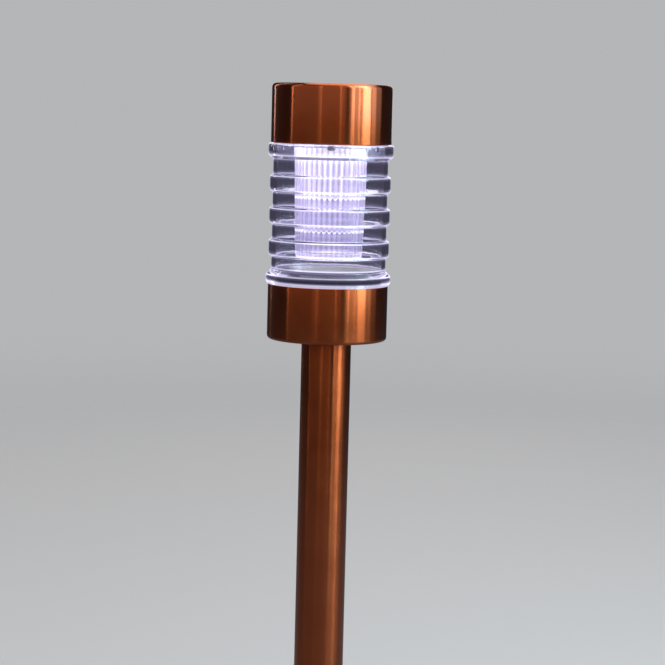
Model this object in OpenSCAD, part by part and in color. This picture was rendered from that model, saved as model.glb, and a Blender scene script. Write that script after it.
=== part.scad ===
// Solar garden light: a ground spike, a tube pole and a round lamp head.
// Millimetres, +Z up. The origin is on the axis at ground level, where the pole stands on the spike.

/* [Pole] */
// Length of pole that shows between the ground and the collar
pole_len = 170; // [140:1:200]
// Outside diameter of the pole
pole_d = 22; // [20:0.5:23]
// Thickness of the pole's tube
pole_wall = 0.5; // [0.4:0.1:0.8]

/* [Ground spike] */
// Length of the spike below ground level
spike_len = 88; // [70:1:110]
// Thickness of the spike's four fins
fin_t = 2.2; // [1.6:0.1:3]
// Length of the spigot that goes up into the pole
spigot_len = 24; // [18:1:28]

/* [Collar] */
// Outside diameter of the collar and of the cap
shell_d = 53; // [52.5:0.1:53.5]
// Height of the collar
collar_h = 24.5; // [24:0.5:30]
// Thickness of the collar's and the cap's drawn metal
shell_wall = 0.5; // [0.4:0.1:0.5]

/* [Lens] */
// Height of the lens
lens_h = 61.5; // [61.5:0.5:66]
// Outside diameter of the lens at its two end flanges
flange_d = 55; // [54.5:0.1:57]
// Outside diameter of the lens at its raised rings
ring_d = 53.2; // [52:0.1:54]
// Outside diameter of the lens between the rings
neck_d = 50.6; // [50.4:0.1:51]
// Number of raised rings
ring_count = 3; // [1:1:3]
// Distance from one raised ring to the next
ring_pitch = 14.1; // [12:0.1:14.1]

/* [Diffuser cup] */
// Outside diameter of the fluted cup at its mouth
cup_top_d = 32.2; // [28:0.2:34]
// Outside diameter of the fluted cup at its closed end
cup_end_d = 29.6; // [26:0.2:31]
// Number of flutes round the cup
flute_count = 40; // [24:2:60]

/* [Cap] */
// Height of the cap's metal shell
cap_h = 26; // [26:0.5:30]
// Number of bayonet lugs
lug_count = 4; // [3:1:4]
// Angle that the cap turns through to lock, in degrees
lock_turn = 20; // [15:1:25]

/* [Electrics] */
// Side of the square solar tile
tile_w = 30; // [26:1:30]
// Diameter of the battery
battery_d = 10.2; // [10:0.1:10.4]
// Diameter of the LED
led_d = 5; // [4.8:0.1:5]
// Travel of the switch's lever
switch_travel = 2; // [1.5:0.5:2]

/* [Hidden] */
$fn = 96;
eps = 0.01;            // overlap that makes a cut run through a face
run_fit = 0.05;        // radial play of a tube that slides on a plug
seam = 0.3;            // gap between the cap and the head it turns on

pole_r = pole_d / 2;
pole_bore_r = pole_r - pole_wall;
neck_in = 0.2;         // how much the pole's top end is necked in
neck_len = 18.7;       // length of the necked end, which goes up into the collar
neck_z = pole_len - 0.5;
shoulder_t = 2;        // spike's flange, on which the pole stands

shell_r = shell_d / 2;
shell_bore_r = shell_r - shell_wall;
collar_z = pole_len;
collar_bend_r = 1.5;   // outer bend at the collar's bottom edge
pole_hole_r = pole_r - neck_in + 0.3;
plug_h = 6.5;          // collar core's plug, inside the foot of the lens
plug_r = 23.55;

lens_z = collar_z + collar_h;
lens_top = lens_z + lens_h;
lens_bore_r = 23.7;
mouth_r = 24.2;        // wider bore above the ledge that stops the cup's skirt
ledge_h = 54.8;        // ledge's height in the lens
ring_base = 8.4;       // ring's height at its foot and at its crest
ring_crest = 5.4;
first_ring = 16;       // middle of the lowest ring
flange_h = 4.4;        // bottom flange's straight height, then its slope up to the neck
flange_slope = 1.7;
top_flange_h = 6.8;    // top flange, with its slope
edge = 0.5;            // small chamfer on the lens's outer corners

cup_wall = 1.3;
cup_floor = 1.5;
cup_flange_t = 1.25;
cup_end_h = 12.4;      // underside of the cup above the foot of the lens
flute_depth = 0.45;

cap_z = lens_top + seam;
cap_top = cap_z + cap_h;
cap_bend_r = 2;        // outer bend at the cap's top edge
lip_r = 22.5;          // opening in the cap's top
plate_t = 2;           // cap base's plate
cup_flange_z = cap_z - 0.05 - cup_flange_t;   // underside of the cup's flange
skirt_r = 23.9;        // the cup's skirt, which carries the bayonet lugs
skirt_bore_r = 22.4;
skirt_z = cap_z - 5.4;
gasket_r = [24.55, 25.35];   // flat gasket between the plate and the lens
gasket_h = 0.8;
gasket_z = lens_top + 0.05;
gasket_play = 0.1;
lug_r = 24.9;
lug_h = 1.5;
lug_z = cup_flange_z - lug_h;
lug_angle = 12;        // width of a lug, in degrees
lug_play = 0.3;
first_lug = 223;       // middle of the first lug, from +X

core_r = shell_bore_r - 0.1;
core_bore_r = core_r - 1.6;
core_z = cap_z + plate_t;
deck_t = 4.6;          // cap core's top deck
deck_top = cap_top - 0.3;
deck_z = deck_top - deck_t;
tile_pocket = 2.6;
tile_z = deck_top - tile_pocket;
tile_play = 0.2;
board_t = 1;
cell_t = 0.4;
cell_w = tile_w - 2;
window_t = 1.4;
wire_hole_x = 8;       // wire holes under the solar tile
wire_hole_y = 8;
wire_r = 0.5;

screw_ring_r = 18.9;
screw_angles = [30, 150, 270];
screw_shank_r = 0.98;
screw_hole_r = 1.15;
screw_head_r = 1.7;
screw_head_h = 1.3;
screw_len = 9.3;
boss_r = 2.4;

battery_r = battery_d / 2;
battery_y = -9.5;
battery_z = core_z + 7.7;
battery_x = [-15.6, 13.1];   // ends of the battery's can
bay_x = 16.8;                // inner face of the bay's end walls
bay_y = [-15, -4];
contact_t = 0.4;
spring_wire_r = 0.3;

pcb = [22, 16.7, 1.2];
pcb_y = 5.15;                // middle of the board
pcb_z = core_z + 4.7;
post_y = 11.5;               // two posts hold the board under the deck
post_x = 9;

led_r = led_d / 2;
led_rim_r = led_r + 0.4;
led_rim_h = 1;
led_body = 6.1;              // straight length below the rim
leg_x = 1.27;

switch_y = 19.3;
switch_size = [8.5, 3.8, 3.6];
lever = [1.6, 1.4];
lever_slot = [lever[0] + switch_travel + 0.8, lever[1] + 0.6];
lever_out = 1.4;             // how far the lever stands out below the cup's flange
pin_r = 0.3;

// ---------- shapes that repeat ----------

// Solid of revolution from (radius, height) points.
module turned(points) {
    rotate_extrude() polygon(points);
}

module at_height(z) {
    translate([0, 0, z]) children();
}

// Part of a ring between two radii, centred on an angle.
module ring_sector(r_in, r_out, h, middle, width) {
    rotate([0, 0, middle - width / 2]) rotate_extrude(angle = width)
        translate([r_in, 0]) square([r_out - r_in, h]);
}

// Points of a quarter bend of radius r about a centre, from angle a0 to a1.
function bend(c, r, a0, a1, n = 6) =
    [for (i = [0:n]) c + r * [cos(a0 + (a1 - a0) * i / n), sin(a0 + (a1 - a0) * i / n)]];

// Catmull-Rom curve through a list of points.
function blend_at(p, q, r, s, t) =
    0.5 * (2 * q + (r - p) * t + (2 * p - 5 * q + 4 * r - s) * t * t + (3 * q - p - 3 * r + s) * t * t * t);
function smooth(pts, n = 5) = concat(
    [for (i = [0:len(pts) - 2], k = [0:n - 1])
        blend_at(pts[max(i - 1, 0)], pts[i], pts[i + 1], pts[min(i + 2, len(pts) - 1)], k / n)],
    [pts[len(pts) - 1]]);

function unit(v) = v / norm(v);
function heading(path, i) = unit(path[min(i + 1, len(path) - 1)] - path[max(i - 1, 0)]);

// Round wire of radius r swept along a path; side is a direction that the path never takes.
module wire(path, r, side, sides = 8) {
    rings = len(path);
    points = [for (i = [0:rings - 1])
        let (t = heading(path, i), u = unit(cross(t, side)), v = cross(t, u))
        for (k = [0:sides - 1]) path[i] + r * (cos(360 * k / sides) * u + sin(360 * k / sides) * v)];
    walls = [for (i = [0:rings - 2], k = [0:sides - 1])
        let (a = i * sides + k, b = i * sides + (k + 1) % sides)
        [a, a + sides, b + sides, b]];
    first_end = [for (k = [0:sides - 1]) k];
    last_end = [for (k = [sides - 1:-1:0]) (rings - 1) * sides + k];
    polyhedron(points, concat(walls, [first_end, last_end]));
}

// Repeats its children at each screw.
module at_screws() {
    for (a = screw_angles) rotate([0, 0, a]) translate([screw_ring_r, 0, 0]) children();
}

// Slot of depth h for the switch's lever.
module lever_opening(h) {
    translate([-lever_slot[0] / 2, switch_y - lever_slot[1] / 2, 0]) cube([lever_slot[0], lever_slot[1], h]);
}

// ---------- ground spike and pole ----------

// One flat blade of the spike, with a barb-free straight taper to its point.
module spike_blade() {
    half = pole_r - 1.2;
    rotate([90, 0, 0]) linear_extrude(fin_t, center = true) polygon([
        [-half, -shoulder_t], [half, -shoulder_t], [half, -22], [half - 1.4, -34],
        [0.9, -spike_len + 1.2], [0, -spike_len], [-0.9, -spike_len + 1.2], [-half + 1.4, -34], [-half, -22]
    ]);
}

module ground_spike() {
    spigot_r = pole_bore_r - run_fit;
    spigot_wall = 1.5;
    color([0.06, 0.06, 0.065]) union() {
        spike_blade();
        rotate([0, 0, 90]) spike_blade();
        translate([0, 0, -shoulder_t]) cylinder(r = pole_r, h = shoulder_t);
        turned(concat(
            [[spigot_r - spigot_wall, -eps], [spigot_r, -eps], [spigot_r, spigot_len - 1.5]],
            [[spigot_r - 0.7, spigot_len], [spigot_r - spigot_wall, spigot_len]]));
        for (a = [0, 90]) rotate([0, 0, a])
            translate([-spigot_r + 0.5, -fin_t / 2, -eps]) cube([2 * spigot_r - 1, fin_t, spigot_len - 2]);
    }
}

// Rolled tube; its top end is necked in where it goes up into the collar.
module pole() {
    color([0.72, 0.35, 0.19]) turned([
        [pole_bore_r, 0], [pole_r, 0], [pole_r, neck_z], [pole_r - neck_in, neck_z + neck_in],
        [pole_r - neck_in, neck_z + neck_len], [pole_bore_r - neck_in, neck_z + neck_len],
        [pole_bore_r - neck_in, neck_z + neck_in], [pole_bore_r, neck_z]
    ]);
}

// ---------- collar ----------

// Drawn cup, open at the top, with a hole for the pole in its floor.
module collar_shell() {
    inner_bend = collar_bend_r - shell_wall;
    color([0.72, 0.35, 0.19]) translate([0, 0, collar_z]) turned(concat(
        [[pole_hole_r, 0]],
        bend([shell_r - collar_bend_r, collar_bend_r], collar_bend_r, -90, 0),
        [[shell_r, collar_h], [shell_bore_r, collar_h]],
        bend([shell_r - collar_bend_r, collar_bend_r], inner_bend, 0, -90),
        [[pole_hole_r, shell_wall]]));
}

// Moulded body inside the collar: a plug for the lens above and a ribbed socket for the pole below.
module collar_core() {
    out_r = shell_bore_r - 0.05;
    foot = collar_z + shell_wall + 0.1;
    socket_r = pole_r - neck_in + run_fit;
    socket_top = neck_z + neck_len + 0.05;
    plate = 1.8;
    wall = 1.6;
    ribs = 6;
    plug_top = lens_z + plug_h;
    color([0.05, 0.05, 0.055]) difference() {
        union() {
            turned([
                [out_r - wall, foot], [out_r - 1.2, foot], [out_r, foot + 1.2], [out_r, lens_z],
                [plug_r, lens_z], [plug_r, plug_top - 0.4], [plug_r - 0.4, plug_top],
                [0, plug_top], [0, plug_top - wall],
                [plug_r - wall, plug_top - wall], [plug_r - wall, lens_z - plate],
                [out_r - wall, lens_z - plate]
            ]);
            translate([0, 0, foot]) cylinder(r = socket_r + 2, h = plug_top - foot - wall / 2);
            for (i = [0:ribs - 1]) rotate([0, 0, i * 360 / ribs])
                translate([socket_r + 1, -0.7, foot + 1])
                    cube([plug_r - socket_r - 1.8, 1.4, plug_top - foot - 1 - wall / 2]);
            for (i = [0:ribs - 1]) rotate([0, 0, i * 360 / ribs])
                translate([plug_r - 2, -0.7, foot + 1])
                    cube([out_r - plug_r + 1.2, 1.4, lens_z - foot - 1 - plate / 2]);
        }
        translate([0, 0, foot - eps]) cylinder(r = socket_r, h = socket_top - foot + eps);
        translate([0, 0, socket_top + wall]) cylinder(r = socket_r, h = plug_top - socket_top - 2 * wall);
    }
}

// ---------- lens ----------

// Outer outline of the lens from its foot to its top, as (radius, height).
function ring_outline(middle) = [
    [neck_d / 2, middle - ring_base / 2], [ring_d / 2, middle - ring_crest / 2],
    [ring_d / 2, middle + ring_crest / 2], [neck_d / 2, middle + ring_base / 2]
];
function lens_outline() = concat(
    [[flange_d / 2 - 0.8, 0], [flange_d / 2, 0.8], [flange_d / 2, flange_h]],
    [[neck_d / 2, flange_h + flange_slope]],
    [for (i = [0:ring_count - 1]) each ring_outline(first_ring + i * ring_pitch)],
    [[neck_d / 2, lens_h - top_flange_h], [flange_d / 2, lens_h - top_flange_h + 1.8]],
    [[flange_d / 2, lens_h - edge], [flange_d / 2 - edge, lens_h]]);

// Clear outer lens, with bayonet channels cut into the wall of its mouth.
module lens() {
    channel_r = lug_r + lug_play;
    channel_z = lug_z - lug_play;
    channel_h = lug_h + 2 * lug_play;
    entry = lug_angle + 4;
    run = entry / 2 + lock_turn;
    color([0.9, 0.92, 0.98, 0.35]) difference() {
        translate([0, 0, lens_z]) turned(concat(
            [[lens_bore_r, 0]], lens_outline(),
            [[mouth_r, lens_h], [mouth_r, ledge_h], [lens_bore_r, ledge_h]]));
        for (i = [0:lug_count - 1]) {
            middle = first_lug + i * 360 / lug_count;
            at_height(channel_z - 0.15)
                ring_sector(mouth_r - 0.6, channel_r + 0.1, lens_top - channel_z + 1, middle, entry);
            at_height(channel_z) ring_sector(mouth_r - 0.4, channel_r, channel_h, middle - run / 2, run);
        }
    }
}

// Outline of the fluted cup: a row of shallow rounded flutes round a circle.
function fluted(r) = [for (i = [0:flute_count * 4 - 1])
    let (a = 360 * i / (flute_count * 4), dip = [0, 0.35, 1, 0.35][i % 4] * flute_depth)
    (r - dip) * [cos(a), sin(a)]];

// Clear fluted cup under the cap. Its flange is screwed to the cap base; its skirt carries the bayonet lugs.
module diffuser() {
    top_r = cup_top_d / 2;
    end_r = cup_end_d / 2;
    root_r = top_r - 0.6;
    end_z = lens_z + cup_end_h;
    cup_len = cup_flange_z + cup_flange_t / 2 - end_z;
    flange_top = cup_flange_z + cup_flange_t;
    color([0.9, 0.92, 1, 0.4]) difference() {
        union() {
            translate([0, 0, end_z]) linear_extrude(cup_len, scale = top_r / end_r) polygon(fluted(end_r));
            turned([
                [root_r, cup_flange_z], [skirt_bore_r, cup_flange_z], [skirt_bore_r, skirt_z],
                [skirt_r - 0.3, skirt_z], [skirt_r, skirt_z + 0.3],
                [skirt_r, flange_top], [root_r, flange_top]
            ]);
            for (i = [0:lug_count - 1]) at_height(lug_z)
                ring_sector(skirt_r - 0.5, lug_r, lug_h, first_lug + i * 360 / lug_count, lug_angle);
        }
        translate([0, 0, end_z + cup_floor]) cylinder(
            r1 = end_r - cup_wall, r2 = top_r - cup_wall, h = flange_top - end_z - cup_floor + eps);
        at_height(cup_flange_z - eps) at_screws() cylinder(r = screw_hole_r, h = cup_flange_t + 2 * eps);
        at_height(cup_flange_z - eps) lever_opening(cup_flange_t + 2 * eps);
    }
}

// ---------- cap ----------

// Flat rubber gasket that sits in the groove under the cap base and lies on the lens's top rim.
module seal_ring() {
    color([0.03, 0.03, 0.03]) turned([
        [gasket_r[0], gasket_z], [gasket_r[1], gasket_z],
        [gasket_r[1], gasket_z + gasket_h], [gasket_r[0], gasket_z + gasket_h]
    ]);
}

// Drawn metal cap: a straight wall bent over into a flat lip round the solar window.
module cap_shell() {
    bend_z = cap_top - cap_bend_r;
    inner_bend = cap_bend_r - shell_wall;
    color([0.74, 0.36, 0.2]) turned(concat(
        [[shell_bore_r, cap_z], [shell_r, cap_z]],
        bend([shell_r - cap_bend_r, bend_z], cap_bend_r, 0, 90),
        [[lip_r, cap_top], [lip_r, cap_top - shell_wall]],
        bend([shell_r - cap_bend_r, bend_z], inner_bend, 90, 0)));
}

// Closing plate of the cap, with a groove for the gasket in its underside.
module cap_base() {
    groove = [gasket_r[0] - gasket_play, gasket_r[1] + gasket_play];
    groove_z = gasket_z + gasket_h + gasket_play;
    color([0.05, 0.05, 0.055]) difference() {
        turned([
            [0, cap_z], [groove[0], cap_z], [groove[0], groove_z], [groove[1], groove_z], [groove[1], cap_z],
            [core_r, cap_z], [core_r, cap_z + plate_t], [0, cap_z + plate_t]
        ]);
        at_height(cap_z - eps) cylinder(r = led_r + 0.15, h = plate_t + 2 * eps);
        at_height(cap_z - eps) at_screws() cylinder(r = screw_hole_r, h = plate_t + 2 * eps);
        at_height(cap_z - eps) lever_opening(plate_t + 2 * eps);
    }
}

// Moulded body that fills the cap: wall, top deck with the tile's pocket, battery bay, posts and bosses.
module cap_core() {
    wall_t = 1.2;
    bay_h = deck_z - core_z - 1;
    color([0.05, 0.05, 0.055]) difference() {
        union() {
            turned([
                [core_bore_r, core_z], [core_r, core_z], [core_r, cap_top - 2.2],
                [core_r - 1.6, cap_top - 0.6], [lip_r - 0.2, cap_top - 0.6], [lip_r - 0.2, deck_top],
                [0, deck_top], [0, deck_z], [core_bore_r, deck_z]
            ]);
            at_screws() translate([0, 0, core_z]) cylinder(r = boss_r, h = deck_z - core_z + eps);
            for (s = [-1, 1]) translate([s * (bay_x + wall_t / 2) - wall_t / 2, bay_y[0], core_z + 1])
                cube([wall_t, bay_y[1] - bay_y[0], bay_h + eps]);
            for (s = [-1, 1]) translate([s * 8 - wall_t / 2, bay_y[0], battery_z + 2.5])
                cube([wall_t, bay_y[1] - bay_y[0], deck_z - battery_z - 2.5 + eps]);
            for (s = [-1, 1]) translate([s * post_x, post_y, pcb_z + pcb[2]])
                cylinder(r = 1.5, h = deck_z - pcb_z - pcb[2] + eps);
        }
        translate([-tile_w / 2 - tile_play, -tile_w / 2 - tile_play, tile_z])
            cube([tile_w + 2 * tile_play, tile_w + 2 * tile_play, tile_pocket + 1]);
        for (s = [-1, 1]) translate([s * wire_hole_x, wire_hole_y, deck_z - 1])
            cylinder(r = 1.2, h = deck_t + 1);
        at_screws() translate([0, 0, core_z - eps]) cylinder(r = screw_shank_r + 0.02, h = screw_len);
        translate([battery_x[0] - 0.5, battery_y, battery_z]) rotate([0, 90, 0])
            cylinder(r = battery_r + 0.2, h = battery_x[1] - battery_x[0] + 1);
    }
}

// ---------- light source ----------

// Bright dish round the LED, under the cap base.
module reflector() {
    hole_r = led_r + 0.2;
    color([0.85, 0.86, 0.88]) turned([
        [hole_r, cap_z - 0.05], [hole_r, cap_z - 0.75], [4, cap_z - 0.75], [9.2, cap_z - 3.6],
        [9.2, cap_z - 4.1], [9.9, cap_z - 4.1], [9.9, cap_z - 3.3], [4.6, cap_z - 0.05]
    ]);
}

// Round 5 mm LED, dome down, its rim on top of the cap base.
module led() {
    tip = core_z - led_body;
    color([0.95, 0.97, 1, 0.6]) turned(concat(
        [[0, core_z + led_rim_h], [led_rim_r, core_z + led_rim_h], [led_rim_r, core_z], [led_r, core_z]],
        bend([0, tip], led_r, 0, -90, 8)));
}

module led_leads() {
    color([0.75, 0.75, 0.76]) for (s = [-1, 1])
        translate([s * leg_x, 0, core_z + led_rim_h])
            cylinder(r = 0.25, h = pcb_z + pcb[2] - core_z, $fn = 16);
}

// ---------- electrics ----------

module circuit_board() {
    color([0.1, 0.35, 0.16]) difference() {
        translate([-pcb[0] / 2, pcb_y - pcb[1] / 2, pcb_z]) cube(pcb);
        for (s = [-1, 1]) translate([s * leg_x, 0, pcb_z - eps])
            cylinder(r = 0.35, h = pcb[2] + 2 * eps, $fn = 16);
    }
}

// Four-legged driver chip, upright on the board.
module driver_chip() {
    size = [4.6, 1.8, 3.6];
    at = [-4.6, 6.5, pcb_z + pcb[2]];
    stand = 2;
    color([0.04, 0.04, 0.04]) translate([at[0], at[1], at[2] + stand])
        difference() {
            translate([-size[0] / 2, -size[1] / 2, 0]) cube(size);
            translate([-size[0] / 2 - eps, -size[1] / 2 - eps, size[2] - 0.5])
                cube([size[0] + 2 * eps, 0.5, 0.5 + eps]);
        }
    color([0.75, 0.75, 0.76]) for (i = [-1.5:1:1.5])
        translate([at[0] + i * 1.1, at[1], at[2]]) cylinder(r = 0.22, h = stand, $fn = 16);
}

// Axial boost inductor with bent legs.
module inductor() {
    at = [3.5, 5, pcb_z + pcb[2]];
    body_r = 1.5;
    body_len = 7;
    color([0.2, 0.45, 0.3]) translate([at[0] - body_len / 2, at[1], at[2] + body_r + 0.3])
        rotate([0, 90, 0]) cylinder(r = body_r, h = body_len, $fn = 32);
    color([0.75, 0.75, 0.76]) for (s = [-1, 1]) translate([at[0] + s * (body_len / 2 + 0.15), at[1], at[2]])
        cylinder(r = 0.25, h = body_r + 0.55, $fn = 16);
}

// Rechargeable cell lying along X, with its raised plus end.
module battery() {
    can = battery_x[1] - battery_x[0];
    color([0.16, 0.42, 0.24]) translate([battery_x[0], battery_y, battery_z]) rotate([0, 90, 0]) union() {
        turned([
            [0, 0], [battery_r - 0.5, 0], [battery_r, 0.5],
            [battery_r, can - 0.5], [battery_r - 0.5, can], [0, can]
        ]);
        translate([0, 0, -0.8]) cylinder(r = 1.9, h = 1);
    }
}

module battery_plus_contact() {
    color([0.8, 0.8, 0.82]) translate([-bay_x, battery_y - 3.5, battery_z - 3.5]) cube([contact_t, 7, 10]);
}

// Plate and conical coil that press on the battery's flat end.
module battery_spring() {
    turns = 3.5;
    steps = 14;
    reach = bay_x - contact_t - battery_x[1] - spring_wire_r;
    coil = [for (i = [0:turns * steps])
        let (t = i / (turns * steps), a = 360 * turns * t, r = 3.4 - 1.4 * t)
        [bay_x - contact_t - t * (reach - 0.05), battery_y + r * cos(a), battery_z + r * sin(a)]];
    color([0.8, 0.8, 0.82]) {
        translate([bay_x - contact_t, battery_y - 3.5, battery_z - 3.5]) cube([contact_t, 7, 10]);
        wire(coil, spring_wire_r, [1, 0, 0]);
    }
}

module switch_body() {
    cavity = [5.2, lever[1] + 0.3, 2];
    color([0.62, 0.64, 0.66]) translate([0, switch_y, core_z]) difference() {
        translate([-switch_size[0] / 2, -switch_size[1] / 2, 0]) cube(switch_size);
        translate([-cavity[0] / 2, -cavity[1] / 2, -eps]) cube(cavity);
    }
}

module switch_pins() {
    color([0.8, 0.78, 0.6]) for (i = [-1:1])
        translate([i * 2.5, switch_y, core_z + switch_size[2]]) cylinder(r = pin_r, h = 2.6, $fn = 16);
}

// Lever of the switch, at its ON end.
module switch_slider() {
    foot = 2.6;
    color([0.05, 0.05, 0.05]) translate([-switch_travel / 2, switch_y, 0]) union() {
        translate([-foot / 2, -lever[1] / 2, core_z + 0.1]) cube([foot, lever[1], 1.6]);
        translate([-lever[0] / 2, -lever[1] / 2, cup_flange_z - lever_out])
            cube([lever[0], lever[1], core_z + 0.2 - cup_flange_z + lever_out]);
    }
}

// Three self-tapping screws, driven up through the cup's flange and the cap base into the cap core's bosses.
module cover_screws() {
    head_z = cup_flange_z - 0.02 - screw_head_h;
    color([0.7, 0.7, 0.72]) at_height(head_z) at_screws() difference() {
        union() {
            cylinder(r1 = screw_head_r - 0.4, r2 = screw_head_r, h = 0.5);
            at_height(0.5) cylinder(r = screw_head_r, h = screw_head_h - 0.5);
            at_height(screw_head_h - eps) cylinder(r = screw_shank_r, h = screw_len);
        }
        for (a = [0, 90]) rotate([0, 0, a]) translate([-1.1, -0.2, -eps]) cube([2.2, 0.4, 0.7]);
    }
}

// ---------- solar tile ----------

module solar_board() {
    color([0.1, 0.12, 0.1]) translate([-tile_w / 2, -tile_w / 2, tile_z]) cube([tile_w, tile_w, board_t]);
}

module solar_cell() {
    color([0.03, 0.05, 0.16]) translate([-cell_w / 2, -cell_w / 2, tile_z + board_t])
        cube([cell_w, cell_w, cell_t]);
}

// Clear resin cast over the cell.
module cell_window() {
    color([0.8, 0.85, 0.95, 0.3]) difference() {
        translate([-tile_w / 2, -tile_w / 2, tile_z + board_t]) cube([tile_w, tile_w, window_t]);
        translate([-cell_w / 2, -cell_w / 2, tile_z + board_t - eps]) cube([cell_w, cell_w, cell_t + eps]);
    }
}

// ---------- wires ----------

// Leads from the solar tile down to the board, on side s.
function tile_lead(s) = [
    [s * 8, 8, tile_z - 0.1], [s * 8, 8, tile_z - 3], [s * 8.6, 6, tile_z - 7], [s * 8.2, 4, tile_z - 11],
    [s * 8, 3.5, pcb_z + pcb[2] + 0.05]
];
// Leads from a battery contact to the board, on side s.
function battery_lead(s) = [
    [s * (bay_x - contact_t - wire_r), -8, battery_z + 5.7], [s * 14.8, -5, battery_z + 6.4],
    [s * 12.6, -1.5, battery_z + 4.2], [s * 9.6, -0.5, battery_z + 1], [s * 9.2, -0.5, pcb_z + pcb[2] + 0.05]
];
// Lead from a pin of the switch to the board.
function switch_lead(x, end_x) = [
    [x, switch_y - pin_r - wire_r - 0.03, core_z + 5.6], [x, 17, core_z + 7.4],
    [end_x, 14, core_z + 8.4], [end_x, 12, core_z + 7.2], [end_x, 11.8, pcb_z + pcb[2] + 0.05]
];

module red_wires() {
    color([0.75, 0.06, 0.05]) {
        wire(smooth(tile_lead(1)), wire_r, [1, 0, 0]);
        wire(smooth(battery_lead(-1)), wire_r, [1, -1, 1]);
        wire(smooth(switch_lead(0, 1.5)), wire_r, [1, 0, 0]);
    }
}

module black_wires() {
    color([0.04, 0.04, 0.04]) {
        wire(smooth(tile_lead(-1)), wire_r, [1, 0, 0]);
        wire(smooth(battery_lead(1)), wire_r, [-1, -1, 1]);
        wire(smooth(switch_lead(-2.5, -3)), wire_r, [1, 0, 0]);
    }
}

ground_spike();
pole();
collar_shell();
collar_core();
lens();
diffuser();
seal_ring();
cap_shell();
cap_base();
cap_core();
reflector();
led();
led_leads();
circuit_board();
driver_chip();
inductor();
battery();
battery_plus_contact();
battery_spring();
switch_body();
switch_pins();
switch_slider();
cover_screws();
solar_board();
solar_cell();
cell_window();
red_wires();
black_wires();
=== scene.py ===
"""Solar garden light: ground spike, copper-coloured tube pole, and a round lamp head with a ringed lens.

Lengths are in millimetres and become metres as a mesh is made. +Z is up, and the Z axis is the pole's.
"""
import math

import bmesh
import bpy
import numpy as np
from mathutils import Matrix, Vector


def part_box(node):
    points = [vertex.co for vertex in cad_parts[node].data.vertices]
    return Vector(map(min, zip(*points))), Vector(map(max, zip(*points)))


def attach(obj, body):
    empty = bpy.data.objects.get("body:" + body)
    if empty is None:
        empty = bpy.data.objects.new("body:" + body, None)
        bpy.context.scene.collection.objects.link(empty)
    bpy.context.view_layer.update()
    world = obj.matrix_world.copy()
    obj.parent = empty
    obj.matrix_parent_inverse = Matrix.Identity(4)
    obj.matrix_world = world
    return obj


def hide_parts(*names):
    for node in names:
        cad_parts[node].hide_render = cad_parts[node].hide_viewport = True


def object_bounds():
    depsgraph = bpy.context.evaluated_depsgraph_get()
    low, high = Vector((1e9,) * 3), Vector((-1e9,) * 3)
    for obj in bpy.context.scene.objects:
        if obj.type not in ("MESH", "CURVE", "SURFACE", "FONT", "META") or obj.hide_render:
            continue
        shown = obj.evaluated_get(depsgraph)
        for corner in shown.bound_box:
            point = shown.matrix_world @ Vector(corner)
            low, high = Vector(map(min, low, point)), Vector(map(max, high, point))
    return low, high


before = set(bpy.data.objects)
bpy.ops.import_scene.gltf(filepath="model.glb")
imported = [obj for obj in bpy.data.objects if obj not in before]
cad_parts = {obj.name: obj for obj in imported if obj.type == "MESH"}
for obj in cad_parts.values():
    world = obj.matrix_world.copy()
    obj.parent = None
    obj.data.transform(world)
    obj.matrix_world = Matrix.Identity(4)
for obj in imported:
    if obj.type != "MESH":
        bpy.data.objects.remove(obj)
cad_low, cad_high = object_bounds()
MM = 0.001


# ---------- Camera ----------
# A long lens at the height of the cap, tipped down a little and rolled, so that the light leans to the
# right.

EYE_DISTANCE = 880 * MM
EYE_HEIGHT = 270 * MM
TIP_DOWN, PAN_RIGHT, ROLL = math.radians(6.3), math.radians(0.17), math.radians(1.45)

camera = bpy.data.objects.new("camera", bpy.data.cameras.new("camera"))
camera.data.lens = 108
camera.data.sensor_width = 36
camera.data.clip_start, camera.data.clip_end = 0.05, 30
camera.matrix_world = (
    Matrix.Translation((0, -EYE_DISTANCE, EYE_HEIGHT))
    @ Matrix.Rotation(-PAN_RIGHT, 4, "Z")
    @ Matrix.Rotation(math.pi / 2 - TIP_DOWN, 4, "X")
    @ Matrix.Rotation(ROLL, 4, "Z")
)
bpy.context.scene.collection.objects.link(camera)
bpy.context.scene.camera = camera
bpy.context.scene.view_settings.view_transform = "Standard"


# ---------- Studio: soft light and a pale floor ----------
# Tall soft boxes stand round the light, because a round metal shell shows them as upright bands. Two broad
# ones fill in from the front, and a broad sun lights the floor. The camera itself sees none of them.

LOOK_AT = 0.17      # height in metres that every box is tipped towards
BOX_DISTANCE, BOX_HEIGHT, BOX_TALL = 1.2, 0.815, 1.32
FILL_DISTANCE, FILL_HEIGHT, FILL_WIDTH, FILL_TALL = 1.8, 0.9, 1.9, 1.3
COOL, WARM, WHITE = (0.60, 0.83, 1.0), (1.0, 0.91, 0.82), (1.0, 1.0, 1.0)


def soft_box(name, side, distance, height, width, tall, power, colour):
    """Rectangular light, side degrees to the right of the camera, turned to face the light's axis."""
    bearing = math.radians(side)
    light = bpy.data.lights.new(name, "AREA")
    light.shape, light.size, light.size_y = "RECTANGLE", width, tall
    light.energy, light.color = power, colour
    box = bpy.data.objects.new(name, light)
    box.matrix_world = (
        Matrix.Translation((distance * math.sin(bearing), -distance * math.cos(bearing), height))
        @ Matrix.Rotation(bearing, 4, "Z")
        @ Matrix.Rotation(math.pi / 2 - math.atan2(height - LOOK_AT, distance), 4, "X")
    )
    box.visible_camera = False
    bpy.context.scene.collection.objects.link(box)


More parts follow.
